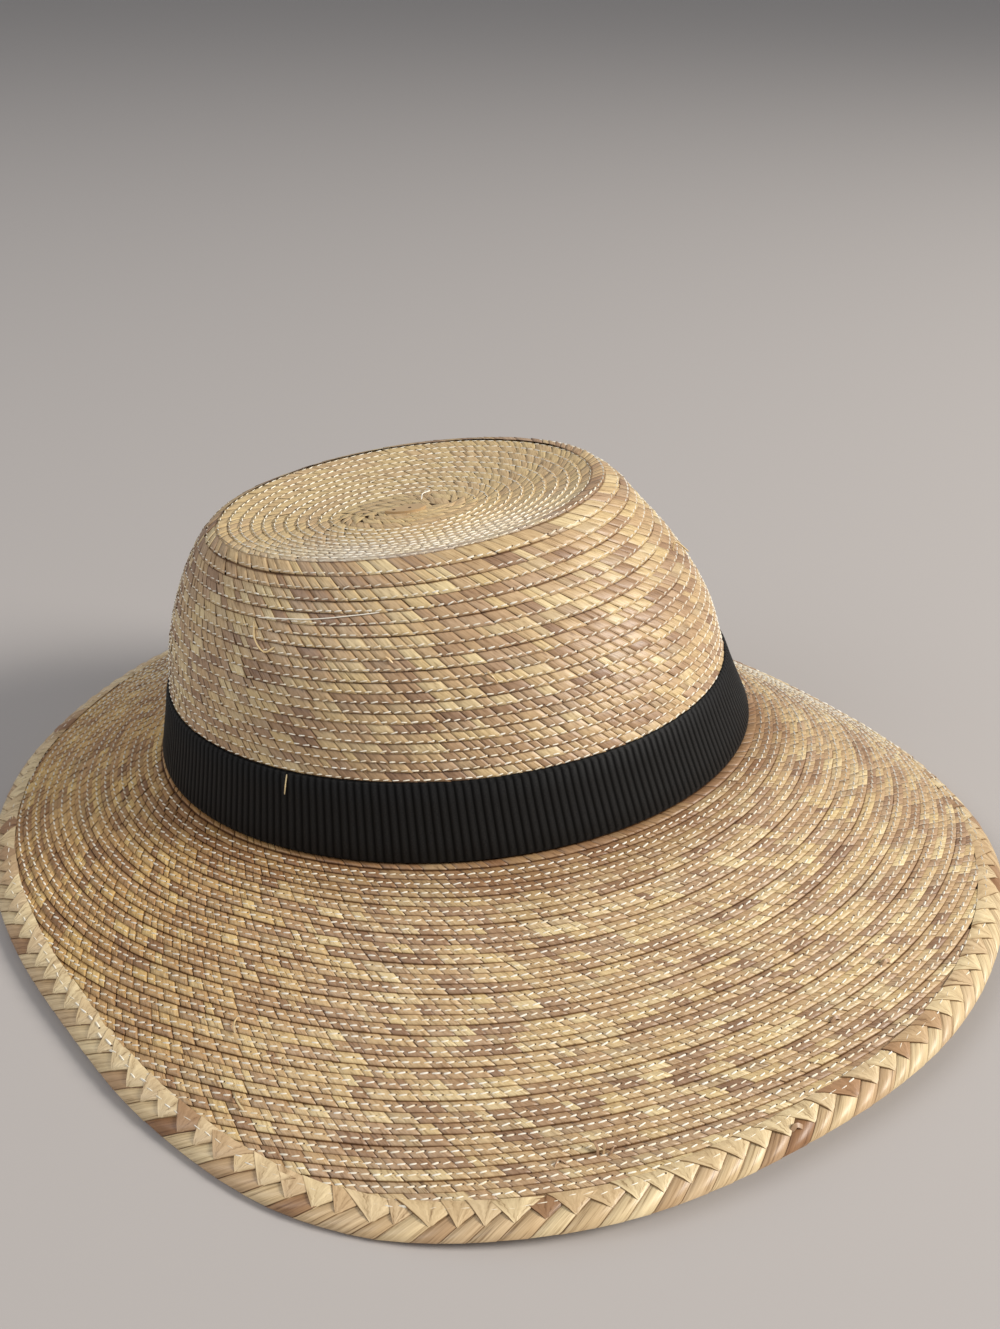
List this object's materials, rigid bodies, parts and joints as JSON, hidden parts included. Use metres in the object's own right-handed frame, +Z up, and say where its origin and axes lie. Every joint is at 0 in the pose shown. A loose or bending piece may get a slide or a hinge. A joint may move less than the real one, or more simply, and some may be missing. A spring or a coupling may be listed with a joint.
{
  "type": "sewn palm-braid sun hat with a black ribbon",
  "caption": "Wide-brimmed straw sun hat of sewn palm braid: oval flat-tipped crown, drooping uneven brim with a plaited edge, black grosgrain ribbon round the crown.",
  "frame": {"origin": "on the surface that the hat stands on, under the middle of the brim's outline", "axes": "+X along the crown's long side, to the right in the picture; +Y away from the wide front of the brim; +Z up"},
  "size_m": [0.337, 0.3288, 0.1199],
  "materials": {
    "straw": "sewn palm braid, pale straw with tan and grey-brown strands, cream stitching, satin",
    "plait": "wide palm plait folded over the brim's edge, light tan with some brown strips, satin",
    "ribbon": "black ribbed grosgrain, matte"
  },
  "bodies": {
    "root": {"crown": "straw", "brim": "straw", "edge_binding": "plait", "hat_band": "ribbon"}
  },
  "joints": []
}
